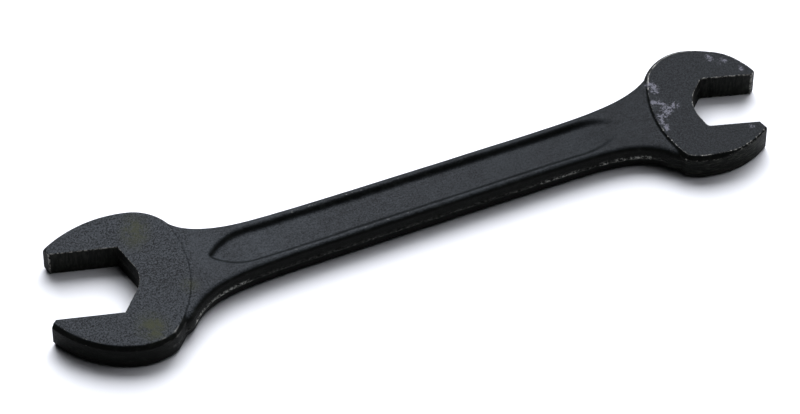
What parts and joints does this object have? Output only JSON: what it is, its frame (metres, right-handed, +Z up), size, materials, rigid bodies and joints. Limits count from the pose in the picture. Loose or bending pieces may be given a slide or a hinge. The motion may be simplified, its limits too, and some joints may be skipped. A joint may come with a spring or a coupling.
{
  "type": "double open-end wrench",
  "caption": "One-piece forged double open-end wrench: two fixed jaws of different size lean opposite ways on a slim I-section shank, for turning hexagon nuts and bolts.",
  "frame": {"origin": "centre of the bounding box in plan, on the underside of the two heads", "axes": "+X along the shank from the large head to the small head, +Z up through the thickness, +Y across; the large jaw opens towards -X and +Y, the small jaw towards +X and -Y"},
  "size_m": [0.1897, 0.0405, 0.009],
  "materials": {
    "black_oxide_steel": "forged steel with a matte blue-black oxide finish, worn bright in places"
  },
  "bodies": {
    "root": {"wrench_forging": "black_oxide_steel"}
  },
  "joints": []
}
